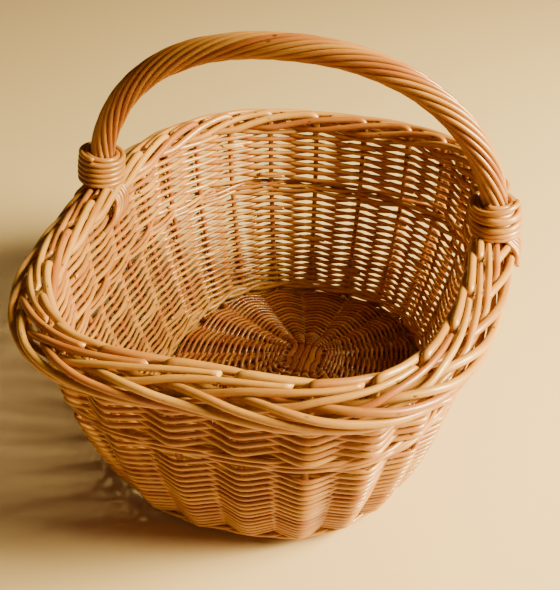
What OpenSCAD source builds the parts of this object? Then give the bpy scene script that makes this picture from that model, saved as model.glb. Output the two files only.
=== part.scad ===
// Woven willow market basket: an oval stake-and-strand body on a domed base, a thick
// trac border and one fixed roped handle over the middle.
// Z is up, X runs along the handle's span, Y along the basket's length.

/* [Body outline] */
// Half width of the border's centre line, below the handle
rim_half_w = 192; // [150:1:230]
// Half length of the border's centre line
rim_half_l = 245; // [200:1:290]
// Squareness of the rim outline, where 2 is an ellipse
rim_square = 2.7; // [2:0.1:3.2]
// Half width of the foot hoop, outside
foot_half_w = 142; // [110:1:150]
// Half length of the foot hoop, outside
foot_half_l = 196; // [150:1:200]
// How much farther out the rim's two front corners are, as a fraction
front_swell = 0.06; // [0:0.005:0.07]
// Squareness of the foot outline, where 2 is an ellipse
foot_square = 2.6; // [2:0.1:3]
// Height at which the side reaches the border; its last rows run on a little inside it
wall_h = 190; // [160:1:240]
// How much of the flare is near the foot, where 1 is a straight cone
belly = 2; // [1:0.1:2.6]
// Rise of the border at the handle's feet
saddle = 6; // [0:1:16]

/* [Stakes and weave] */
// Number of upright stakes
stake_count = 28; // [20:4:32]
// Thickness of a stake
stake_d = 6; // [5:0.5:7]
// Thickness of the rods in the lower side and the base
fine_weaver_d = 3.2; // [2.5:0.1:3.6]
// Thickness of the rods in the upper side and the middle wale
coarse_weaver_d = 4; // [3.6:0.1:4.6]
// Height at which the middle wale starts
wale_z = 124; // [80:1:130]
// Height of the middle wale
wale_h = 15; // [8:1:18]

/* [Base] */
// Number of sticks each way in the slath at the middle of the base
slath_sticks = 5; // [3:1:6]
// Thickness of a base stick
stick_d = 7; // [6:0.5:7.5]
// Height of the base sticks above the floor at the middle of the dome
crown_z = 34; // [16:1:36]
// Distance of the slath to the right of the base's middle
slath_x = 13; // [0:1:20]
// Distance of the slath behind the base's middle
slath_y = 28; // [0:1:35]
// Height and width of the foot hoop
hoop_size = 7; // [6:0.5:8]

/* [Border] */
// Thickness of a border rod
border_rod_d = 5.2; // [4.5:0.1:5.3]

/* [Handle] */
// Height of the handle's centre line at the top
handle_top = 378; // [320:1:420]
// Distance of the handle behind the basket's middle
handle_back = 15; // [0:1:20]
// Squareness of the handle's arch, where 2 is an ellipse
handle_square = 2.25; // [2:0.05:2.6]
// Thickness of the bow inside the rope
bow_d = 14; // [12:0.5:16]
// Thickness of a rope strand
strand_d = 4.8; // [4:0.1:5]
// Number of rope strands
strand_count = 12; // [10:2:12]
// Length of one full turn of a strand
lay_length = 233; // [180:1:300]
// Thickness of the rod wrapped around each foot of the handle
wrap_rod_d = 5.2; // [3.5:0.1:5.5]
// Turns in each of a wrap's two layers
wrap_turns = 6; // [4:1:7]

/* [Hidden] */

willow = "#c98a4b";
willow_dark = "#a9682f";
willow_pale = "#e0b577";

gap = 0.2;                    // air between pieces that lie side by side
hoop_overhang = 4;            // from the wall's middle out to the outside of the foot hoop
corner_ease = 2.4;            // degrees that close the stake spacing up at the corners
swell_scale = 27 / 16;        // makes 1 the greatest value of the front swell's curve
border_inset = 9;             // from the border's centre line in to the wall's middle
border_rise = 17;             // from the wall's top to the border's centre line
rim_z = wall_h + border_rise;
weave_top = wall_h + 8;       // the side's last row, close under the border's inner rods
stake_step = 360 / stake_count;
first_stake = 0.5;            // place of the first stake, in stake spacings from the handle's end
upsett_rods_h = 2 * (fine_weaver_d + gap);
lower_z = hoop_size + upsett_rods_h;
upper_z = wale_z + wale_h;
slath_pitch = stick_d + 1;
slath_half = slath_pitch * slath_sticks / 2;
slath_margin = 3;             // from the slath's outer stick to where the spokes open out
spoke_count = 4 * slath_sticks;
slit_h = 3.6;                 // height of the slit in a long stick and of a cross stick in it
edge_inset = stake_d / 2 + fine_weaver_d + 1;  // from the wall's middle in to the base's edge
edge_z = hoop_size + 4;       // height of the base sticks at the edge of the base
first_rounds = 5;             // rounds of the slath's binding
round_step = 0.031;           // from one of them to the next, as a fraction of a spoke
hoop_facets = 3;              // straight stretches of the foot hoop from stake to stake
web_share = 0.75;             // half the band's thickness between stakes, in weaving rods
tube_sides = 6;

function unit(v) = v / norm(v);
function mix(a, b, s) = a + (b - a) * s;
function flare(z) = 1 - pow(1 - min(z / wall_h, 1), belly);

// Half width, half length, squareness and front swell of the wall's middle surface at height z
function wall_size(z) = [
    mix(foot_half_w - hoop_overhang, rim_half_w - border_inset, flare(z)),
    mix(foot_half_l - hoop_overhang, rim_half_l - border_inset, flare(z)),
    mix(foot_square, rim_square, min(z / wall_h, 1)),
    mix(0, front_swell, min(z / wall_h, 1))
];

// Station of stake i, in degrees
function station(i) = (i + first_stake) * stake_step;

// Direction in plan of station p, spaced so that stakes stand evenly
function plan_angle(p, size) =
    let (q = p + corner_ease * sin(4 * p))
    atan2(sqrt(size[1]) * sin(q), sqrt(size[0]) * cos(q));

function outline_point(p, size) =
    let (
        f = plan_angle(p, size),
        oval = pow(pow(abs(cos(f)) / size[0], size[2]) + pow(abs(sin(f)) / size[1], size[2]), -1 / size[2]),
        swell = f < 0 ? size[3] * swell_scale * pow(sin(2 * f) * sin(f), 2) : 0,
        r = oval * (1 + swell)
    )
    [r * cos(f), r * sin(f), 0];

function outline_normal(p, size) =
    let (v = outline_point(p, size), k = size[2] - 1)
    unit([
        sign(v[0]) * pow(abs(v[0]) / size[0], k) / size[0],
        sign(v[1]) * pow(abs(v[1]) / size[1], k) / size[1],
        0
    ]);

function lift(p, z) = saddle * pow(cos(p), 2) * pow(min(z / wall_h, 1), 2);
function wall_point(p, z, out = 0) =
    outline_point(p, wall_size(z)) + outline_normal(p, wall_size(z)) * out + [0, 0, z + lift(p, z)];
function rim_size() = [rim_half_w, rim_half_l, rim_square, front_swell];
function rim_point(p, out, up) =
    outline_point(p, rim_size()) + outline_normal(p, rim_size()) * out + [0, 0, rim_z + lift(p, wall_h) + up];

// Direction of a path at point i
function heading(path, i, closed) =
    let (n = len(path))
    closed ? unit(path[(i + 1) % n] - path[(i + n - 1) % n])
           : unit(path[min(i + 1, n - 1)] - path[max(i - 1, 0)]);

// A round rod swept along a path. d is its thickness, and side is a direction that the path
// never runs along. Either can be a list with one value for each point.
module rod(path, d, side = [0, 0, 1], closed = false, sides = tube_sides) {
    n = len(path);
    points = [
        for (i = [0 : n - 1])
            let (
                t = heading(path, i, closed),
                u = unit(cross(is_list(side[0]) ? side[i] : side, t)),
                v = cross(t, u),
                r = (is_list(d) ? d[i] : d) / 2
            )
            for (k = [0 : sides - 1])
                path[i] + r * (u * cos(360 * k / sides) + v * sin(360 * k / sides))
    ];
    skins = [
        for (i = [0 : closed ? n - 1 : n - 2], k = [0 : sides - 1])
            let (j = (i + 1) % n, m = (k + 1) % sides)
            [i * sides + k, j * sides + k, j * sides + m, i * sides + m]
    ];
    ends = [
        [for (k = [0 : sides - 1]) k],
        [for (k = [sides - 1 : -1 : 0]) (n - 1) * sides + k]
    ];
    polyhedron(points, closed ? skins : concat(skins, ends), convexity = 6);
}

// Points across one sector of a woven band: the swell in front of and behind a stake, the
// thin web half way to its neighbour and the channel that the stake runs in.
// c and m are the stake's place and the place half way to the stake before it, t runs along
// the weave, f and g are the front directions at the stake and half way, d is the stake's
// thickness and w the weaving rods'.
function sector(c, m, t, f, g, d, w) =
    let (r = d / 2 + gap, swell = d / 2 + w, web = w * web_share, q = r * sqrt(2))
    [
        m + g * web, c + f * swell - t * r, c + f * swell + t * r,
        m, c - t * q, c + f * q, c + t * q, c - f * q,
        m - g * web, c - f * swell - t * r, c - f * swell + t * r
    ];

// A closed woven band. stations is a list of rings, each a list of sectors.
module woven_band(stations) {
    rows = len(stations);
    count = len(stations[0]);
    size = 11;
    points = [for (ring = stations, s = ring, v = s) v];
    function at(row, i, k) = (row * count + (i % count)) * size + k;
    // Chains of corners: front skin, back skin and channel, with the sector each lies in
    front = [[0, 0], [0, 1], [0, 2], [1, 0]];
    back = [[1, 8], [0, 10], [0, 9], [0, 8]];
    channel = [[0, 4], [0, 7], [0, 6], [0, 5], [0, 4]];
    walls = [
        for (row = [0 : rows - 2], i = [0 : count - 1])
            for (chain = [front, back, channel], k = [0 : len(chain) - 2])
                let (
                    a = at(row, i + chain[k][0], chain[k][1]),
                    b = at(row + 1, i + chain[k][0], chain[k][1]),
                    c = at(row + 1, i + chain[k + 1][0], chain[k + 1][1]),
                    d = at(row, i + chain[k + 1][0], chain[k + 1][1])
                )
                each [[a, b, c], [a, c, d]]
    ];
    cap = [
        [[0, 0], [0, 4], [0, 3]], [[0, 0], [0, 1], [0, 4]], [[0, 1], [0, 5], [0, 4]],
        [[0, 1], [0, 2], [0, 5]], [[0, 2], [0, 6], [0, 5]], [[0, 2], [1, 0], [0, 6]],
        [[1, 0], [1, 3], [0, 6]], [[0, 8], [0, 3], [0, 4]], [[0, 8], [0, 4], [0, 9]],
        [[0, 9], [0, 4], [0, 7]], [[0, 9], [0, 7], [0, 10]], [[0, 10], [0, 7], [0, 6]],
        [[0, 10], [0, 6], [1, 8]], [[1, 8], [0, 6], [1, 3]]
    ];
    first = [for (i = [0 : count - 1], f = cap) [for (c = f) at(0, i + c[0], c[1])]];
    last = [for (i = [0 : count - 1], f = cap) [for (k = [2 : -1 : 0]) at(rows - 1, i + f[k][0], f[k][1])]];
    polyhedron(points, concat(walls, first, last), convexity = 10);
}

// One ring of a side band at height z, woven with rods of thickness w
function side_ring(z, w) = [
    for (i = [0 : stake_count - 1])
        let (
            p = station(i),
            q = station(i - 0.5),
            f = outline_normal(p, wall_size(z)),
            g = outline_normal(q, wall_size(z))
        )
        sector(wall_point(p, z), wall_point(q, z), [-f[1], f[0], 0], f, g, stake_d, w)
];

module side_band(z_from, z_to, steps, w) {
    woven_band([for (k = [0 : steps]) side_ring(mix(z_from, z_to, k / steps), w)]);
}

function hoop_outline(out) = [
    for (p = [0 : stake_step / hoop_facets : 359.9])
        let (v = outline_point(p, wall_size(0)) + outline_normal(p, wall_size(0)) * out)
        [v[0], v[1]]
];

module foot_hoop() {
    color(willow_pale)
    linear_extrude(hoop_size - gap)
    difference() {
        polygon(hoop_outline(hoop_overhang));
        polygon(hoop_outline(hoop_overhang - hoop_size));
    }
}

// Where spoke k of the base leaves the slath and where it ends at the edge of the base
slath_middle = [slath_x, slath_y, crown_z];
function spoke_start(k) =
    let (
        side = floor(k / slath_sticks),
        o = (k % slath_sticks - (slath_sticks - 1) / 2) * slath_pitch,
        e = slath_half + slath_margin
    )
    slath_middle + (side == 0 ? [e, o, 0] : side == 1 ? [-o, e, 0] : side == 2 ? [-e, -o, 0] : [o, -e, 0]);
function spoke_end(k) =
    let (size = wall_size(0), p = 45 * (2 * (k - (slath_sticks - 1) / 2) / slath_sticks))
    outline_point(p, size) - outline_normal(p, size) * edge_inset + [0, 0, edge_z];
function spoke_point(k, s) = mix(spoke_start(k), spoke_end(k), s);

// One base stick: out to the edge on both sides from its place in the slath
module base_stick(k, opposite) {
    rod([spoke_end(k), spoke_start(k), spoke_start(opposite), spoke_end(opposite)], stick_d, sides = 8);
}

module base_sticks_long() {
    color(willow_dark)
    difference() {
        for (i = [0 : slath_sticks - 1]) base_stick(slath_sticks + i, 4 * slath_sticks - 1 - i);
        translate(slath_middle)
        cube([3 * slath_half, 2 * slath_half, slit_h], center = true);
    }
}

module base_sticks_cross() {
    color(willow_dark)
    difference() {
        for (i = [0 : slath_sticks - 1]) base_stick(i, 3 * slath_sticks - 1 - i);
        for (side = [-1, 1])
        translate(slath_middle + [0, 0, side * (slit_h / 2 - gap + stick_d / 2)])
        cube([2 * slath_half + 2, 3 * slath_half, stick_d], center = true);
    }
}

// The first rounds hold the slath together and open the sticks out into spokes: each is a
// pair of rods, one over the sticks and one under them
module slath_binding() {
    drop = (stick_d + fine_weaver_d) / 2 + gap;
    color(willow)
    for (side = [-1, 1], i = [0 : first_rounds - 1])
    rod(
        [for (k = [0 : spoke_count - 1]) spoke_point(k, i * round_step) + [0, 0, side * drop]],
        fine_weaver_d, closed = true, sides = 5
    );
}

// The base weave's sectors lie between the spokes, with their fronts facing up
function base_ring(s) = [
    for (k = [0 : spoke_count - 1])
        let (
            c = spoke_point(k, s),
            m = mix(c, spoke_point((k + spoke_count - 1) % spoke_count, s), 0.5),
            t = unit(cross([0, 0, 1], spoke_end(k) - spoke_start(k)))
        )
        sector(c, m, t, [0, 0, 1], [0, 0, 1], stick_d, fine_weaver_d)
];

module base_weave() {
    color(willow_dark)
    woven_band([base_ring(1), base_ring(first_rounds * round_step)]);
}

// A stake starts at the edge of the base, turns up over the hoop, runs up through the side
// and ends under the border
module side_stakes() {
    size = wall_size(0);
    top_z = rim_z + border_way[0][2] - gap;
    levels = [for (s = [0, 0.15, 0.4, 0.7, 1]) mix(lower_z, top_z, s)];
    color(willow_dark)
    for (i = [0 : stake_count - 1]) {
        p = station(i);
        n = outline_normal(p, size);
        foot = outline_point(p, size) - n * (edge_inset - 2 * gap) + [0, 0, edge_z];
        rod(concat([foot], [for (z = levels) wall_point(p, z)]), stake_d - gap, [-n[1], n[0], 0]);
    }
}

// Two rods laid around the outside of the stakes where they turn up
module upsett() {
    color(willow)
    for (k = [0, 1])
    rod([
        for (i = [0 : 2 * stake_count - 1])
            let (swing = i % 2 == 0 ? (stake_d + fine_weaver_d) / 2 + gap : fine_weaver_d / 2)
            wall_point(station(i / 2), hoop_size + (k + 0.5) * (fine_weaver_d + gap), swing)
    ], fine_weaver_d, closed = true, sides = 5);
}

module lower_side_weave() {
    color(willow) side_band(lower_z, wale_z - gap, 2, fine_weaver_d);
}

module middle_wale() {
    color(willow_dark) side_band(wale_z, upper_z - gap, 1, coarse_weaver_d + 1);
}

module upper_side_weave() {
    color(willow) side_band(upper_z, weave_top, 2, coarse_weaver_d);
}

// A border rod's way as [stake spacings, out, up] from the border's centre line: up from its
// own stake, behind two more stakes along the inner edge, out through the middle of the
// border, down the outside, under, and up over the top to a cut end at the inner edge
border_way = [
    [0, -9, -8], [0, -9, 3], [0.12, -9.5, 8.5], [0.5, -12, 10], [1, -15, 8], [1.5, -16.5, 2.5],
    [2, -15.5, -3], [2.5, -6.5, -4.5], [2.9, 0.5, -1.5], [3.25, 7.5, 2.5], [3.7, 13.5, 1.5],
    [4.4, 16, -3], [5.2, 16, -8.5], [6, 13, -13], [6.5, 8.5, -13.5], [6.95, 5.5, -9],
    [7.35, 5.5, -3.5], [7.75, 7.5, 2.5], [8.2, 4.5, 8], [9, -1, 10.5], [9.75, -6.5, 10]
];

module border_rods() {
    color(willow)
    for (i = [0 : stake_count - 1])
    rod(
        [for (w = border_way) rim_point(station(i + w[0]), w[1], w[2])],
        border_rod_d,
        [for (w = border_way) outline_normal(station(i + w[0]), rim_size())],
        sides = 5
    );
}

// The bow's centre line: an arch above the border and two legs down into the wall
spring_z = rim_z + saddle;
leg_z = spring_z - 78;        // the bow's tips
foot_x = rim_half_w;          // half the handle's span between centre lines
function arch_point(f) = [
    foot_x * sign(cos(f)) * pow(abs(cos(f)), 2 / handle_square), handle_back,
    mix(spring_z, handle_top, pow(max(sin(f), 0), 2 / handle_square))
];
arch_steps = 28;
arch_from = 4;                // degrees of the arch below its first ring above each foot
arch = [for (k = [0 : arch_steps]) arch_point(180 - arch_from - (180 - 2 * arch_from) * k / arch_steps)];

// The bow's ends are cut to points and pushed down beside the stakes
module handle_bow() {
    neck_d = 0.7 * bow_d;
    tip_d = 0.4 * bow_d;
    leg_x = wall_size(leg_z)[0];
    neck_x = wall_size(wall_h)[0];
    left = [[-leg_x, handle_back, leg_z], [-neck_x, handle_back, wall_h]];
    right = [[neck_x, handle_back, wall_h], [leg_x, handle_back, leg_z]];
    color(willow_dark)
    rod(
        concat(left, arch, right),
        concat([tip_d, neck_d], [for (v = arch) bow_d], [neck_d, tip_d]),
        [0, 1, 0], sides = 8
    );
}

// Length of the arch up to ring k
function arch_length(k) = k <= 0 ? 0 : arch_length(k - 1) + norm(arch[k] - arch[k - 1]);
function strand_angle(j, k) = 360 * j / strand_count - 360 * arch_length(k) / lay_length;
function strand_point(j, k) =
    let (
        t = heading(arch, k, false), n = cross([0, 1, 0], t),
        r = (bow_d + strand_d) / 2 + gap, a = strand_angle(j, k)
    )
    arch[k] + r * (n * cos(a) + [0, 1, 0] * sin(a));

// A strand's tail at one foot: it passes the border on its own side of the bow and ends
// against the wall
tail_swing = 20;
tail_z = wall_h - 27;
function strand_tail(j, k, hand) =
    let (
        a = strand_angle(j, k),
        out = cos(a) > 0 ? -1 : 1,
        sway = handle_back + (bow_d + strand_d) * sin(a)
    )
    [
        [hand * (foot_x + out * tail_swing), sway, spring_z + 2],
        [hand * (wall_size(tail_z)[0] + out * (stake_d / 2 + coarse_weaver_d + strand_d)), sway, tail_z]
    ];

module strand(j) {
    last = len(arch) - 1;
    left = strand_tail(j, 0, -1);
    right = strand_tail(j, last, 1);
    rod(concat(
        [left[1], left[0]], [for (k = [0 : last]) strand_point(j, k)], [right[0], right[1]]
    ), strand_d, [0, 1, 0], sides = 5);
}

module handle_strands_left() {
    color(willow) for (j = [0 : 2 : strand_count - 1]) strand(j);
}

module handle_strands_right() {
    color(willow_pale) for (j = [1 : 2 : strand_count - 1]) strand(j);
}

// A wrap is wound around the foot of the rope and then again over itself. Its turns lie on
// each other and lean in with the rope
module foot_wrap(hand) {
    inner_r = bow_d / 2 + strand_d + 2 * gap;
    first_z = spring_z + 15;
    pitch = wrap_rod_d + gap;
    lean = 0.25;
    for (layer = [0, 1], k = [0 : wrap_turns - 1])
    translate([hand * (foot_x - lean * k), handle_back, first_z + k * pitch])
    rotate_extrude($fn = 48)
    translate([inner_r + wrap_rod_d / 2 + layer * pitch, 0])
    circle(d = wrap_rod_d, $fn = 24);
}

module left_wrap() {
    color(willow_dark) foot_wrap(-1);
}

module right_wrap() {
    color(willow_dark) foot_wrap(1);
}

foot_hoop();
base_sticks_long();
base_sticks_cross();
slath_binding();
base_weave();
side_stakes();
upsett();
lower_side_weave();
middle_wale();
upper_side_weave();
border_rods();
handle_bow();
handle_strands_left();
handle_strands_right();
left_wrap();
right_wrap();
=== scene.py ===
"""Woven willow market basket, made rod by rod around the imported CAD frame.

Lengths are millimetres, and meshes are made in metres. Along the wall and the border, p is a
place round the basket in degrees, u counts stake spacings, out is towards the outside, and up is
towards the rim.
"""
import math

import bpy
import numpy as np
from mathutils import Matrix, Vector


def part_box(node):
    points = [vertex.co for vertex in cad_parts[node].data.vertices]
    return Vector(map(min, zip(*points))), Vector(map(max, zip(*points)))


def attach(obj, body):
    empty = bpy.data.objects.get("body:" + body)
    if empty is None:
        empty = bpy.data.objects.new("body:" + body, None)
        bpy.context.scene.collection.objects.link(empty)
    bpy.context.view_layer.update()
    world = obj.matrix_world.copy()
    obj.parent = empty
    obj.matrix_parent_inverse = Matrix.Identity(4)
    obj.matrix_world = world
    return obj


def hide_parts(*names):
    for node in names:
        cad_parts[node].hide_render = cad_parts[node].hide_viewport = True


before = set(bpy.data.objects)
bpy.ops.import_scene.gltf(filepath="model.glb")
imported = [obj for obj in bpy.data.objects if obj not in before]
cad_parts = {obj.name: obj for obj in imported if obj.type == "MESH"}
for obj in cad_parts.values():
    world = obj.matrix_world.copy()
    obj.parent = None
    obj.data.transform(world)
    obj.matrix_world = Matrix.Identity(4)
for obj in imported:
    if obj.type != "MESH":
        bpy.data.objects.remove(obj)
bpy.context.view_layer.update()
random = np.random.default_rng(7)
MM = 0.001


def node_box(name):
    """Lowest and highest corner of a CAD node, in millimetres."""
    return [np.array(v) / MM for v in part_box(name)]


# ---------------------------------------------------------------- sizes

STAKES = 28
STEP = 360 / STAKES     # degrees from stake to stake

# Thicknesses of the rods
STAKE_D = 6.0
FINE_D = 4.0            # lower side
COARSE_D = 4.9          # upper side
WALE_D = 4.2
UPSETT_D = 3.4
TURN_D = 4.8            # the pale pair that hides the corner between base and side
BORDER_D = 7.1
BOW_D = 14.0
STRAND_D = 4.9
WRAP_D = 5.3

# The body's outline
RIM_HALF = np.array([192.0, 245.0])     # half width and half length of the border's centre line
SADDLE = 6.0            # rise of the border at the handle
BELLY = 2.0             # how much of the flare is near the foot
FOOT_SQUARE = 2.6       # squareness of the outlines, where 2 is an ellipse
RIM_SQUARE = 2.7
FRONT_SWELL = 0.06      # how much farther out the rim's front corners are, as a fraction
SWELL_SCALE = 27 / 16   # makes the swell's highest value 1
CORNER_EASE = 2.4       # degrees that close the stakes up at the corners
HOOP_OVERHANG = 4.0     # from the wall's middle out to the foot hoop's outside
BORDER_INSET = 9.0      # from the border's centre line in to the wall's middle
BORDER_RISE = 17.0      # from the wall's top to the border's centre line
FIRST_STAKE = 0.5       # the first stake's place, in stake spacings from the right side's middle
GAP = 0.2               # between CAD solids that touch in the real basket
CAD_ROWS_PAST_WALL = 8.0    # how far the CAD side runs on inside the border
ROWS_PAST_WALL = 10.0   # how far the last rows run on here

foot_half = node_box("foot_hoop")[1][:2]
hoop_h = node_box("foot_hoop")[1][2] + GAP
lower_z = node_box("lower_side_weave")[0][2]
wale_z = node_box("middle_wale")[0][2]
upper_z = node_box("upper_side_weave")[0][2]
wall_h = node_box("upper_side_weave")[1][2] - SADDLE - CAD_ROWS_PAST_WALL
rim_z = wall_h + BORDER_RISE


# ---------------------------------------------------------------- shape of the basket

def mix(a, b, s):
    return a + (b - a) * s


def station(u):
    """The place round the basket, in degrees, that is u stake spacings from the first stake."""
    return (u + FIRST_STAKE) * STEP


def wall_size(z):
    """Half width, half length, squareness and swell of the side's middle surface at height z."""
    s = np.clip(np.asarray(z, float) / wall_h, None, 1)
    flare = 1 - (1 - s) ** BELLY
    return (
        mix(foot_half[0] - HOOP_OVERHANG, RIM_HALF[0] - BORDER_INSET, flare),
        mix(foot_half[1] - HOOP_OVERHANG, RIM_HALF[1] - BORDER_INSET, flare),
        mix(FOOT_SQUARE, RIM_SQUARE, s),
        FRONT_SWELL * s,
    )


def outline(p, size):
    """Points of an oval and its outward normals at places p, in degrees."""
    a, b, n, swell = size
    q = np.radians(p + CORNER_EASE * np.sin(np.radians(4 * np.asarray(p, float))))
    f = np.arctan2(np.sqrt(b) * np.sin(q), np.sqrt(a) * np.cos(q))
    r = ((np.abs(np.cos(f)) / a) ** n + (np.abs(np.sin(f)) / b) ** n) ** (-1 / n)
    r *= 1 + np.where(f < 0, swell * SWELL_SCALE * (np.sin(2 * f) * np.sin(f)) ** 2, 0)
    x, y = r * np.cos(f), r * np.sin(f)
    nx = np.sign(x) * (np.abs(x) / a) ** (n - 1) / a
    ny = np.sign(y) * (np.abs(y) / b) ** (n - 1) / b
    length = np.hypot(nx, ny)
    flat = np.zeros_like(x)
    return np.stack([x, y, flat], -1), np.stack([nx / length, ny / length, flat], -1)


def lift(p, z):
    """The saddle's rise at place p and height z: full at the handle, none at the two ends."""
    return SADDLE * np.cos(np.radians(p)) ** 2 * np.clip(np.asarray(z, float) / wall_h, None, 1) ** 2


def wall_points(p, z, out):
    point, normal = outline(p, wall_size(z))
    up = np.asarray(z + lift(p, z), float) * np.ones(len(point))
    return point + normal * np.reshape(out * np.ones(len(point)), (-1, 1)) + up[:, None] * [0, 0, 1]


def rim_points(p, out, up):
    point, normal = outline(p, (RIM_HALF[0], RIM_HALF[1], RIM_SQUARE, FRONT_SWELL))
    z = rim_z + lift(p, wall_h) + up
    return point + normal * np.reshape(out, (-1, 1)) + z[:, None] * [0, 0, 1]


def wander(count, size, waves=3, closed=False):
    """A smooth random line of count values, about size high."""
    s = np.linspace(0, 1, count)
    total = np.zeros(count)
    for k in range(1, waves + 1):
        turns = k if closed else k * random.uniform(0.6, 1.4)
        total += random.normal() / k * np.sin(2 * math.pi * (turns * s + random.uniform()))
    return total * size


def smooth_path(points, per_span):
    """A smooth curve through a list of points, as a Catmull-Rom spline."""
    p = np.asarray(points, float)
    p = np.vstack([2 * p[0] - p[1], p, 2 * p[-1] - p[-2]])
    made = []
    for i in range(1, len(p) - 2):
        t = np.linspace(0, 1, per_span, endpoint=False)[:, None]
        a, b, c, d = p[i - 1], p[i], p[i + 1], p[i + 2]
        made.append(0.5 * (
            2 * b + (c - a) * t + (2 * a - 5 * b + 4 * c - d) * t ** 2
            + (3 * b - a - 3 * c + d) * t ** 3
        ))
    return np.vstack(made + [p[-2:-1]])


# ---------------------------------------------------------------- rods

CUT_SLOPE = 0.7         # how slanted the cut ends are
GRAIN_APART = 731.0     # keeps one rod's grain and knots apart from the next one's


class Rods:
    """Round willow rods gathered into one mesh.

    Each corner keeps its place in its own rod laid straight (rod_at), for the grain, and each rod
    has a random tone (rod_tone), for its colour.
    """

    def __init__(self, sides=8):
        self.sides = sides
        self.points, self.places, self.tones = [], [], []
        self.faces, self.cuts = [], []
        self.count = 0

    def add(self, path, d, tone=None, closed=False):
        """Sweep a rod of thickness d along a path, with slanted cut ends unless it is closed."""
        path = np.asarray(path, float)
        n, sides = len(path), self.sides
        tone = random.uniform() if tone is None else tone
        radius = np.broadcast_to(np.asarray(d, float) / 2, (n,))
        if closed:
            along = np.roll(path, -1, 0) - np.roll(path, 1, 0)
        else:
            along = np.gradient(path, axis=0)
        along /= np.linalg.norm(along, axis=1)[:, None]
        across = self.carry(along)
        over = np.cross(along, across)
        run = np.concatenate([[0], np.cumsum(np.linalg.norm(np.diff(path, axis=0), axis=1))])
        turn = 2 * math.pi * np.arange(sides) / sides

        ring = np.cos(turn)[None, :, None] * across[:, None] + np.sin(turn)[None, :, None] * over[:, None]
        ring = ring * radius[:, None, None]
        if not closed:
            low_sides = random.uniform(0, 2 * math.pi), random.uniform(0, 2 * math.pi)
            for end, side in zip((0, -1), low_sides):
                ring[end] += CUT_SLOPE * radius[end] * np.cos(turn - side)[:, None] * along[end]
        start = sum(len(p) for p in self.points)
        self.points.append((path[:, None] + ring).reshape(-1, 3))

        place = np.empty((n, sides, 3))
        place[..., 0] = np.cos(turn) * radius[:, None]
        place[..., 1] = np.sin(turn) * radius[:, None]
        place[..., 2] = (run + GRAIN_APART * self.count)[:, None]
        self.places.append(place.reshape(-1, 3))
        self.tones.append(np.full(n * sides, tone))

        i = np.arange(n if closed else n - 1)
        k = np.arange(sides)
        i, k = [v.ravel() for v in np.meshgrid(i, k, indexing="ij")]
        j, m = (i + 1) % n, (k + 1) % sides
        quads = np.stack([i * sides + k, i * sides + m, j * sides + m, j * sides + k], -1) + start
        self.faces += quads.tolist()
        self.cuts += [0] * len(quads)
        if not closed:
            self.faces.append((start + np.arange(sides)[::-1]).tolist())
            self.faces.append((start + (n - 1) * sides + np.arange(sides)).tolist())
            self.cuts += [1, 1]
        self.count += 1

    @staticmethod
    def carry(along):
        """A direction across the rod at each point, carried along without twist."""
        across = np.empty_like(along)
        seed = np.array([0, 0, 1.0]) if abs(along[0][2]) < 0.9 else np.array([1.0, 0, 0])
        side = np.cross(seed, along[0])
        for i, t in enumerate(along):
            side = side - t * side.dot(t)
            side /= math.sqrt(side.dot(side))
            across[i] = side
        return across

    def make(self, name, materials, node, slot):
        """The mesh object, riding on the one body in place of a CAD node."""
        mesh = bpy.data.meshes.new(name)
        mesh.from_pydata((np.vstack(self.points) * MM).tolist(), [], self.faces)
        place = mesh.attributes.new("rod_at", "FLOAT_VECTOR", "POINT")
        place.data.foreach_set("vector", (np.vstack(self.places) * MM).astype(np.float32).ravel())
        tone = mesh.attributes.new("rod_tone", "FLOAT", "POINT")
        tone.data.foreach_set("value", np.concatenate(self.tones).astype(np.float32))
        for material in materials:
            mesh.materials.append(material)
        cuts = np.array(self.cuts, np.int32)
        mesh.polygons.foreach_set("material_index", cuts)
        mesh.polygons.foreach_set("use_smooth", cuts == 0)
        mesh.update()
        piece = bpy.data.objects.new(name, mesh)
        bpy.context.scene.collection.objects.link(piece)
        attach(piece, "root")
        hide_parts(node)
        return piece


# ---------------------------------------------------------------- materials

# Scales of the patterns across, across and along a rod, in cells a metre
FIBRE_SCALE = (1400, 1400, 35)
DRIFT_SCALE = (60, 60, 14)
SKIN_SCALE = (420, 420, 160)
KNOT_SCALE = (260, 260, 130)

FIBRE_SHADE = (0.55, 0.36, 0.22)    # what the dark fibres multiply the colour by
SKIN_SHADE = (0.72, 0.55, 0.40)
KNOT_COLOUR = (0.06, 0.022, 0.008)
COAT_ROUGHNESS = 0.13


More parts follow.
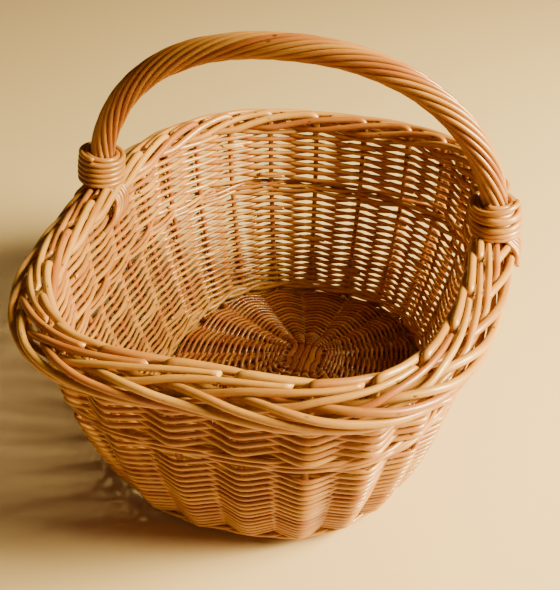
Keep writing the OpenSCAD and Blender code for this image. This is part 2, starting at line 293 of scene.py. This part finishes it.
def willow(name, colours, rough=0.36, coat=0.5, grain=0.5, knotless=0.955):
    """Varnished willow: colour from rod to rod and along each rod, fine grain and knots."""
    made = bpy.data.materials.new(name)
    made.use_nodes = True
    nodes, links = made.node_tree.nodes, made.node_tree.links
    nodes.clear()

    def node(kind, **values):
        new = nodes.new("ShaderNode" + kind)
        for key, value in values.items():
            if key in new.inputs:
                new.inputs[key].default_value = value
            else:
                setattr(new, key, value)
        return new

    def scaled(scale):
        new = node("VectorMath", operation="MULTIPLY")
        links.new(place.outputs["Vector"], new.inputs[0])
        new.inputs[1].default_value = scale
        return new.outputs["Vector"]

    def noise(vector, detail):
        new = node("TexNoise", Scale=1.0, Detail=detail)
        links.new(vector, new.inputs["Vector"])
        return new.outputs["Fac"]

    def maths(operation, a, b):
        new = node("Math", operation=operation)
        for socket, value in zip(new.inputs, (a, b)):
            if isinstance(value, (int, float)):
                socket.default_value = value
            else:
                links.new(value, socket)
        return new.outputs["Value"]

    def spread(value, low, high, to_low=0.0, to_high=1.0):
        new = node("MapRange", clamp=True)
        links.new(value, new.inputs["Value"])
        for key, number in zip(("From Min", "From Max", "To Min", "To Max"), (low, high, to_low, to_high)):
            new.inputs[key].default_value = number
        return new.outputs["Result"]

    def blend(kind, amount, a, b):
        new = node("Mix", data_type="RGBA", blend_type=kind)
        for socket, value in ((new.inputs[0], amount), (new.inputs[6], a), (new.inputs[7], b)):
            if isinstance(value, tuple):
                socket.default_value = value
            else:
                links.new(value, socket)
        return new.outputs[2]

    place = node("Attribute", attribute_name="rod_at", attribute_type="GEOMETRY")
    tone = node("Attribute", attribute_name="rod_tone", attribute_type="GEOMETRY")
    fibre = noise(scaled(FIBRE_SCALE), 3)
    drift = noise(scaled(DRIFT_SCALE), 2)
    skin = noise(scaled(SKIN_SCALE), 4)

    shade = maths("ADD", tone.outputs["Fac"], spread(drift, 0.3, 0.7, -0.28, 0.28))
    ramp = node("ValToRGB")
    stops = ramp.color_ramp.elements
    while len(stops) < len(colours):
        stops.new(0.5)
    for i, colour in enumerate(colours):
        stops[i].position = i / (len(colours) - 1)
        stops[i].color = (*colour, 1)
    links.new(shade, ramp.inputs["Fac"])
    dark_fibre = spread(fibre, 0.35, 0.75, 0.0, grain)
    colour = blend("MULTIPLY", dark_fibre, ramp.outputs["Color"], (*FIBRE_SHADE, 1))
    colour = blend("MULTIPLY", spread(skin, 0.5, 0.75, 0.0, 0.5), colour, (*SKIN_SHADE, 1))

    knots = node("TexVoronoi", feature="F1", Scale=1.0)
    links.new(scaled(KNOT_SCALE), knots.inputs["Vector"])
    split = node("SeparateColor")
    links.new(knots.outputs["Color"], split.inputs["Color"])
    rare = spread(split.outputs["Red"], knotless, knotless + 0.005)
    near = spread(knots.outputs["Distance"], 0.16, 0.36, 1.0, 0.0)
    knot = maths("MULTIPLY", rare, near)
    colour = blend("MIX", maths("MULTIPLY", knot, 0.85), colour, (*KNOT_COLOUR, 1))

    height = maths("ADD", maths("MULTIPLY", fibre, 0.25), maths("MULTIPLY", skin, 0.35))
    height = maths("SUBTRACT", height, maths("MULTIPLY", knot, 0.8))
    bump = node("Bump", Strength=0.35, Distance=0.0004)
    links.new(height, bump.inputs["Height"])
    shader = node("BsdfPrincipled")
    shader.inputs["Coat Weight"].default_value = coat
    shader.inputs["Coat Roughness"].default_value = COAT_ROUGHNESS
    links.new(colour, shader.inputs["Base Color"])
    links.new(spread(skin, 0.3, 0.7, rough - 0.06, rough + 0.12), shader.inputs["Roughness"])
    links.new(bump.outputs["Normal"], shader.inputs["Normal"])
    links.new(shader.outputs["BSDF"], node("OutputMaterial").inputs["Surface"])
    return made


# Willow from dark to pale
RUST = (0.29, 0.070, 0.014)
BROWN = (0.39, 0.122, 0.024)
ORANGE = (0.48, 0.202, 0.036)
HONEY = (0.55, 0.257, 0.046)
TAN = (0.60, 0.305, 0.062)
PALE = (0.72, 0.46, 0.14)

cut_end = willow("willow_cut_end", [HONEY, PALE], rough=0.6, coat=0.0)
side_rods = willow("willow_side", [BROWN, ORANGE, HONEY])
base_rods = willow("willow_base", [RUST, BROWN, ORANGE])
stake_rods = willow("willow_stake", [RUST, BROWN])
border_willow = willow("willow_border", [BROWN, ORANGE, HONEY, TAN], rough=0.38, coat=0.35)
rope_willow = willow("willow_rope", [BROWN, ORANGE, HONEY], rough=0.32, coat=0.45, knotless=0.98)
wrap_willow = willow("willow_wrap", [BROWN, ORANGE, HONEY], rough=0.34, coat=0.4, knotless=0.99)
hoop_willow = willow("willow_hoop", [HONEY, TAN, PALE], rough=0.42, coat=0.2)


# ---------------------------------------------------------------- foot and base

SLATH = 5               # sticks each way in the slath, the square at the base's middle
STICK_D = 7.0
BINDING_D = 3.0         # rods of the rounds that bind the slath
BASE_ROD_D = 3.1
SLATH_PITCH = STICK_D + 1
SLATH_HALF = SLATH_PITCH * SLATH / 2
SLATH_MARGIN = 3.0      # from the slath's outer sticks to where its spokes open out
SLATH_MIDDLE = np.array([13.0, 28.0, 34.0])
IN_SLIT = 0.52          # how much of its thickness a cross stick keeps in the slits
SPOKES = 4 * SLATH
EDGE_INSET = 7.2        # from the side's middle in to the ends of the spokes
EDGE_Z = hoop_h + 4     # height of those ends
FIRST_ROUNDS = 0.155    # the binding rounds end here, as a fraction of a spoke
BINDING_ROUNDS = 5
BASE_ROUNDS = 29


def edge_point(p):
    """Where a base stick or a stake meets the base's edge at place p."""
    point, normal = outline(np.array([p]), wall_size(0))
    return (point - normal * EDGE_INSET)[0] + [0, 0, EDGE_Z]


def spoke_ends(k):
    """Where spoke k leaves the slath and where it ends."""
    side, row = divmod(k, SLATH)
    off = (row - (SLATH - 1) / 2) * SLATH_PITCH
    reach = SLATH_HALF + SLATH_MARGIN
    start = [(reach, off), (-off, reach), (-reach, -off), (off, -reach)][side]
    return np.array([*start, 0]) + SLATH_MIDDLE, edge_point(90 / SLATH * (k - (SLATH - 1) / 2))


SPOKE_LINES = [spoke_ends(k) for k in range(SPOKES)]


def spoke_point(k, s):
    start, end = SPOKE_LINES[k % SPOKES]
    return mix(start, end, s)


def make_foot():
    hoop = Rods(16)
    p = np.linspace(0, 360, 240, endpoint=False)
    radius = hoop_h / 2 - GAP
    path = wall_points(p, 0 * p, HOOP_OVERHANG - hoop_h / 2)
    path[:, 2] = radius + 0.05 + wander(len(p), 0.02, closed=True)
    hoop.add(path, 2 * radius, tone=0.6, closed=True)
    hoop.make("foot_hoop_rod", [hoop_willow, cut_end], "foot_hoop", "hoop")


def make_base_sticks():
    for name, node, first, far in (
        ("long_base_sticks", "base_sticks_long", SLATH, 4 * SLATH - 1),
        ("cross_base_sticks", "base_sticks_cross", 0, 3 * SLATH - 1),
    ):
        sticks = Rods(12)
        for i in range(SLATH):
            a, b = SPOKE_LINES[first + i], SPOKE_LINES[far - i]
            way = [a[1], mix(*a, 0.5), a[0], mix(a[0], b[0], 0.5), b[0], mix(*b, 0.5), b[1]]
            path = smooth_path(way, 8)
            d = STICK_D * (1 + wander(len(path), 0.02))
            if node == "base_sticks_cross":
                d = np.where(np.abs(path[:, 0] - SLATH_MIDDLE[0]) < SLATH_HALF, IN_SLIT * d, d)
            sticks.add(path, d)
        sticks.make(name, [base_rods, cut_end], node, "base_stick")


def make_base_weave():
    """Pairs of rods that bind the slath, then rounds over one spoke and under the next."""
    binding, rounds = Rods(8), Rods(8)
    per = 6
    levels = np.concatenate([
        np.linspace(0, FIRST_ROUNDS, BINDING_ROUNDS),
        np.linspace(FIRST_ROUNDS, 1, BASE_ROUNDS + 1)[1:],
    ])
    for r, s in enumerate(levels):
        bound = s <= FIRST_ROUNDS
        for twin in (0, 1) if bound else (0,):
            path = []
            for k in range(SPOKES):
                here, after = spoke_point(k, s), spoke_point(k + 1, s)
                for j in range(per):
                    u = k + j / per
                    height = (STICK_D + BINDING_D) / 2 * math.cos(math.pi * (u + r + twin))
                    path.append(mix(here, after, j / per) + [0, 0, height])
            path = np.array(path)
            soft = (np.roll(path, 1, 0) + np.roll(path, -1, 0) + 2 * path) / 4
            d = BINDING_D if bound else BASE_ROD_D * (1 + wander(len(path), 0.03, closed=True))
            (binding if bound else rounds).add(soft, d, closed=True)
    binding.make("slath_rounds", [base_rods, cut_end], "slath_binding", "fine_rod")
    rounds.make("base_rounds", [base_rods, cut_end], "base_weave", "base_rod")


# ---------------------------------------------------------------- side

STAKE_TOP = 8.2         # from the border's centre line down to the stakes' tops
STAKE_TAPER = 0.4       # how much thinner a stake is there

LOWER_ROWS, UPPER_ROWS = 32, 14
TIGHTER = 0.22          # how much closer the lowest rows lie than the average
ROW_SHIFT = 3           # stakes between one row's start and the next one's
END_LAP = 0.3           # how far each end of a side rod runs past the stake, in stake spacings
END_STEP = 0.3          # how far the ends lie above and below the row, in rod thicknesses
END_TUCK = 1.6          # how far the ends lie in from the row
CROSSING = -2.2         # where the side rods cross between the stakes, from the stakes' middle
RIDGE = 1.6             # how much farther a side rod swings outside its stake than inside
PRESS = 0.3             # how far a side rod presses into its stake

WALE_LAP = 0.4          # how far the wale reaches into the rows above and below it
TURN_Z, TURN_OUT = 17.0, -6.6   # centre of the pale pair at the corner, up and out
TURN_R = 1.9            # how far each rod of the pair is from that centre
TURN_LEAN = 0.35        # how much it leans with the wall


def make_stakes():
    stakes = Rods(10)
    for i in range(STAKES):
        p = station(i)
        levels = np.linspace(lower_z, rim_z - STAKE_TOP, 6)
        path = smooth_path([edge_point(p), *[wall_points(np.array([p]), z, 0)[0] for z in levels]], 8)
        stakes.add(path, mix(STAKE_D, STAKE_D - STAKE_TAPER, np.linspace(0, 1, len(path))))
    stakes.make("stakes", [stake_rods, cut_end], "side_stakes", "stake")


def swing(u):
    """A side rod's way in front of one stake and behind the next, from 1 to -1."""
    return (np.cos(math.pi * u) + 0.10 * np.cos(3 * math.pi * u) + 0.025 * np.cos(5 * math.pi * u)) / 1.125


def weave_rows(rods, z_from, z_to, rows, d, first_stake, tighter=0.0):
    """Single rods laid one above the other, each once round, with both its ends inside."""
    per = 13
    levels = (np.arange(rows) + 0.5) / rows
    levels = mix(z_from, z_to, levels * mix(1 - tighter, 1, levels))
    inside = (STAKE_D + d) / 2 - PRESS
    for r in range(rows):
        start = first_stake - ROW_SHIFT * r
        start += (start + r + 1) % 2    # the rod starts behind a stake
        u = np.linspace(-END_LAP, STAKES + END_LAP, STAKES * per) + start
        near_end = np.clip(1 - (u - u[0]), 0, 1) - np.clip(1 - (u[-1] - u), 0, 1)
        z = levels[r] - END_STEP * d * near_end + wander(len(u), 0.12)
        side = swing(u + r)
        out = CROSSING + side * np.where(side > 0, RIDGE * inside - CROSSING, inside + CROSSING)
        out -= END_TUCK * np.abs(near_end)
        out += wander(len(u), 0.2)
        taper = np.linspace(1.06, 0.92, len(u)) * (1 + wander(len(u), 0.02))
        rods.add(wall_points(station(u), z, out), d * taper)


def wale_swing(phase):
    """A wale rod's way in front of two stakes and behind the third."""
    return 0.22 + 1.02 * np.cos(2 * math.pi * phase / 3) - 0.1 * np.cos(4 * math.pi * phase / 3)


def wale_rows(rods, z_from, z_to, rounds, d):
    """Rounds of three rods that climb as they go, each one stake ahead of the last."""
    per = 10
    height = (z_to - z_from - d) / rounds
    for r in range(rounds):
        for k in range(3):
            phase = np.linspace(0, STAKES, STAKES * per + 1) + 2 * r
            u = phase + k
            climb = (u - u[0]) / STAKES - 0.5
            wave = 0.32 * np.sin(2 * math.pi * phase / 3 + 0.6)
            z = z_from + d / 2 + height * (r + 0.5 + climb + wave)
            z = np.clip(z, z_from + d / 2, z_to - d / 2)
            out = wale_swing(phase) * ((STAKE_D + d) / 2 + 0.1) + wander(len(u), 0.15)
            rods.add(wall_points(station(u), z, out), d * np.linspace(1.05, 0.93, len(u)))


def make_side():
    upsett = Rods(8)
    wale_rows(upsett, hoop_h, lower_z + 0.3, 1, UPSETT_D)
    u = np.linspace(0, STAKES, STAKES * 8, endpoint=False)
    for k in range(2):
        turn = math.pi * (u + k)
        z = TURN_Z + TURN_R * np.sin(turn)
        out = TURN_OUT + TURN_R * np.cos(turn) + TURN_LEAN * (z - TURN_Z)
        upsett.add(wall_points(station(u), z, out), TURN_D, tone=1.0, closed=True)
    upsett.make("upsett_rounds", [side_rods, cut_end], "upsett", "fine_rod")
    lower = Rods(8)
    weave_rows(lower, lower_z, wale_z, LOWER_ROWS, FINE_D, 5, TIGHTER)
    lower.make("lower_side_rounds", [side_rods, cut_end], "lower_side_weave", "fine_rod")
    wale = Rods(8)
    wale_rows(wale, wale_z - WALE_LAP, upper_z + WALE_LAP, 2, WALE_D)
    wale.make("wale_rounds", [side_rods, cut_end], "middle_wale", "wale_rod")
    upper = Rods(8)
    weave_rows(upper, upper_z, wall_h + ROWS_PAST_WALL, UPPER_ROWS, COARSE_D, 11)
    upper.make("upper_side_rounds", [side_rods, cut_end], "upper_side_weave", "coarse_rod")


# ---------------------------------------------------------------- border

# A rod's way as (stake spacings, out, up) from the border's centre line: up at its own stake,
# behind two stakes, out through the middle, down the outside, under, and over the top
BORDER_WAY = [
    (0, -9, -18), (0, -9, -6), (0, -9, 4), (0.03, -9.2, 10), (0.16, -10, 12), (0.5, -12, 10.8),
    (1, -15, 8), (1.5, -16.5, 2.5), (2, -15.5, -3), (2.5, -6.5, -4.5), (2.9, 0.5, -1.5),
    (3.25, 7.5, 3), (3.7, 14.2, 2.5), (4.15, 17.2, -1.5), (4.9, 17, -7.5), (5.6, 14.5, -12),
    (6.2, 10.5, -13.5), (6.6, 7.5, -12.5), (6.95, 5.5, -9), (7.35, 5.5, -3.5), (7.75, 7.5, 2.5),
    (8.2, 4.5, 8), (9, -1, 10.5), (9.75, -6.5, 10)
]
# Stake spacings along a border rod, and how thick it is there as a fraction of its thickness
BORDER_TAPER = [0, 3, 8.5, 9.75], [1.05, 1.0, 0.86, 0.7]
BORDER_STRAY = 0.35     # how far a border rod strays from its way
BORDER_UNEVEN = 0.03    # how unlike in thickness the border rods are


def make_border():
    border = Rods(12)
    way = smooth_path(BORDER_WAY, 7)
    stray = np.clip(way[:, 0] / 2, 0, 1)
    for i in range(STAKES):
        out = way[:, 1] + wander(len(way), BORDER_STRAY) * stray
        up = way[:, 2] + wander(len(way), BORDER_STRAY) * stray
        d = BORDER_D * np.interp(way[:, 0], *BORDER_TAPER) * (1 + BORDER_UNEVEN * random.normal())
        border.add(rim_points(station(i + way[:, 0]), out, up), d)
    border.make("border", [border_willow, cut_end], "border_rods", "border_rod")


# ---------------------------------------------------------------- handle

HANDLE_SQUARE = 2.25    # squareness of the arch, where 2 is an ellipse
ARCH_FROM = 4.0         # degrees above level at which the arch starts
STRANDS = 12
LAY_LENGTH = 233.0      # one full turn of a strand
LEG = 78.0              # from the arch's foot down to the bow's point
LEAD = 6                # steps in a tail's spans, and points of the rope that lead into it

# A strand's way below its wrap, as (out, slide, up) from the arch's foot, and how it fans
INSIDE_TAIL = [(-12, 0, 8), (-19, -1, -2), (-20.5, -4, -10), (-20, -11, -19), (-14, -22, -28)]
OUTSIDE_TAIL = [(12, 0, 8), (21, 0, 0), (23, -2, -10)]
TAIL_FAN = 0.55, 0.9

WRAP_TURNS = 6          # turns in each of a wrap's two layers
WRAP_FOOT = 15.0        # from the arch's foot up to the wrap
WRAP_SHORT = 0.35       # how much of the last turn is cut off
# Each wrap's name, node, side, slant of its turns, tilt, and the angle where its rod starts
WRAPS = [
    ("left_collar", "left_wrap", -1, 0.0, 0.14, 0.6),
    ("right_collar", "right_wrap", 1, 0.16, 0.05, 2.2),
]

bow_lo, bow_hi = node_box("handle_bow")
handle_back = (bow_lo[1] + bow_hi[1]) / 2
handle_top = bow_hi[2] - BOW_D / 2
spring_z = rim_z + SADDLE
foot_x = RIM_HALF[0]


def arch(count):
    """Points of the bow's centre line from the left foot to the right."""
    f = np.radians(np.linspace(180 - ARCH_FROM, ARCH_FROM, count))
    c, s = np.cos(f), np.sin(f)
    x = foot_x * np.sign(c) * np.abs(c) ** (2 / HANDLE_SQUARE)
    z = mix(spring_z, handle_top, s ** (2 / HANDLE_SQUARE))
    return np.stack([x, np.full(count, handle_back), z], -1)


LINE = arch(150)


def make_bow():
    """The bow inside the rope, thinned to a point at both ends."""
    leg_z = spring_z - LEG
    leg_x, neck_x = wall_size(leg_z)[0], wall_size(wall_h)[0]
    left = [(-leg_x, handle_back, leg_z), (-neck_x, handle_back, wall_h)]
    right = [(neck_x, handle_back, wall_h), (leg_x, handle_back, leg_z)]
    thick = np.concatenate([[0.4, 0.7], np.ones(len(LINE)), [0.7, 0.4]])
    bow = Rods(12)
    bow.add(np.vstack([left, LINE, right]), BOW_D * thick)
    bow.make("bow", [stake_rods, cut_end], "handle_bow", "bow")


def make_rope():
    along = np.gradient(LINE, axis=0)
    along /= np.linalg.norm(along, axis=1)[:, None]
    normal = np.cross([0, 1, 0], along)
    run = np.concatenate([[0], np.cumsum(np.linalg.norm(np.diff(LINE, axis=0), axis=1))])
    for name, node, first in (
        ("left_strands", "handle_strands_left", 0),
        ("right_strands", "handle_strands_right", 1),
    ):
        strands = Rods(12)
        for j in range(first, STRANDS, 2):
            angle = 2 * math.pi * (j / STRANDS - run / LAY_LENGTH)
            radius = (BOW_D + STRAND_D) / 2 + GAP + wander(len(run), 0.25)
            rope = LINE + radius[:, None] * (
                normal * np.cos(angle)[:, None] + np.array([0, 1, 0]) * np.sin(angle)[:, None]
            )
            tails = [strand_tail(angle[0], -1), strand_tail(angle[-1], 1)]
            left = smooth_path([*tails[0][::-1], rope[0], rope[LEAD]], LEAD)[:-LEAD - 1]
            right = smooth_path([rope[-LEAD - 1], rope[-1], *tails[1]], LEAD)[LEAD + 1:]
            path = np.vstack([left, rope, right])
            strands.add(path, STRAND_D * np.linspace(1.03, 0.95, len(path)))
        strands.make(name, [rope_willow, cut_end], node, "rope_strand")


def strand_tail(angle, hand):
    """The way of a strand below its wrap, from the wrap's foot to its end."""
    way = INSIDE_TAIL if math.cos(angle) > 0 else OUTSIDE_TAIL
    sway = (BOW_D + STRAND_D) * math.sin(angle)
    return [
        np.array([hand * (foot_x + out), handle_back + sway * fan + slide, spring_z + up])
        for (out, slide, up), fan in zip(way, np.linspace(*TAIL_FAN, len(way)))
    ]


def make_wraps():
    """A rod wound round each foot of the handle and back over itself."""
    left_leg = LINE[:len(LINE) // 2]
    for name, node, hand, slant, tilt, first in WRAPS:
        wrap = Rods(12)
        for layer in (0, 1):
            radius = BOW_D / 2 + STRAND_D + 2 * GAP + WRAP_D * (layer + 0.5)
            u = np.linspace(0, WRAP_TURNS - WRAP_SHORT, int(WRAP_TURNS * 36))
            angle = 2 * math.pi * u * (1 if layer else -1) + first
            x = radius * np.cos(angle) * (1 + 0.03 * math.sin(3 * layer))
            y = radius * np.sin(angle)
            swell = 1 + 0.02 * np.sin(math.pi * u / WRAP_TURNS) + wander(len(u), 0.006)
            wave = np.sin(angle + 0.9 + 1.1 * np.sin(2.4 * u)) * mix(0.4, 1, u / WRAP_TURNS)
            z = spring_z + WRAP_FOOT + (WRAP_D + 0.1) * (u - 0.5) + slant * radius * wave - tilt * x
            middle = hand * np.interp(z, left_leg[:, 2], -left_leg[:, 0])
            path = np.stack([middle + x * swell, handle_back + y * swell, z], -1)
            wrap.add(path, WRAP_D * (1 + wander(len(u), 0.015)), tone=0.6)
        wrap.make(name, [wrap_willow, cut_end], node, "wrap_rod")


# ---------------------------------------------------------------- floor, light and camera

# Metres, watts and linear colours
FLOOR_SIZE = 8
FLOOR_COLOUR = (0.72, 0.51, 0.28)
FLOOR_ROUGHNESS = 0.55
LIGHT_AIM = (0, 0, 0.12)
# Each light's name, place, size, power and colour
LIGHTS = [
    ("window", (1.85, 0.12, 1.25), (0.8, 1.1), 320, (1.0, 0.90, 0.47)),
    ("sky", (-0.3, 0.3, 2.4), (1.6, 1.6), 2.2, (1.0, 0.66, 0.46)),
    ("front_fill", (0.5, -2.0, 0.8), (1.4, 1.0), 3.5, (1.0, 0.70, 0.48)),
]
WORLD_COLOUR = (1.0, 0.58, 0.40)
WORLD_STRENGTH = 0.04
CAMERA_PLACE = (0.214, -0.789, 0.679)
CAMERA_LOOK = (-0.2225, 0.8007, -0.5564)
CAMERA_LENS = 61.0      # millimetres, for a sensor 36 wide


def make_floor():
    bpy.ops.mesh.primitive_plane_add(size=FLOOR_SIZE, location=(0, 0, 0))
    floor = bpy.context.object
    floor.name = "studio_floor"
    made = bpy.data.materials.new("studio_floor")
    made.use_nodes = True
    shader = made.node_tree.nodes["Principled BSDF"]
    shader.inputs["Base Color"].default_value = (*FLOOR_COLOUR, 1)
    shader.inputs["Roughness"].default_value = FLOOR_ROUGHNESS
    floor.data.materials.append(made)


def make_lights():
    for name, place, size, watts, colour in LIGHTS:
        data = bpy.data.lights.new(name, "AREA")
        data.shape = "RECTANGLE"
        data.size, data.size_y = size
        data.energy = watts
        data.color = colour
        light = bpy.data.objects.new(name, data)
        light.location = place
        light.rotation_euler = (Vector(LIGHT_AIM) - Vector(place)).to_track_quat("-Z", "Y").to_euler()
        bpy.context.scene.collection.objects.link(light)
    world = bpy.data.worlds.new("studio")
    world.use_nodes = True
    background = world.node_tree.nodes["Background"]
    background.inputs["Color"].default_value = (*WORLD_COLOUR, 1)
    background.inputs["Strength"].default_value = WORLD_STRENGTH
    bpy.context.scene.world = world


def make_camera():
    data = bpy.data.cameras.new("camera")
    data.sensor_width = 36
    data.lens = CAMERA_LENS
    camera = bpy.data.objects.new("camera", data)
    camera.location = CAMERA_PLACE
    camera.rotation_euler = Vector(CAMERA_LOOK).to_track_quat("-Z", "Y").to_euler()
    bpy.context.scene.collection.objects.link(camera)
    bpy.context.scene.camera = camera


make_camera()
make_foot()
make_base_sticks()
make_base_weave()
make_stakes()
make_side()
make_border()
make_bow()
make_rope()
make_wraps()
make_floor()
make_lights()
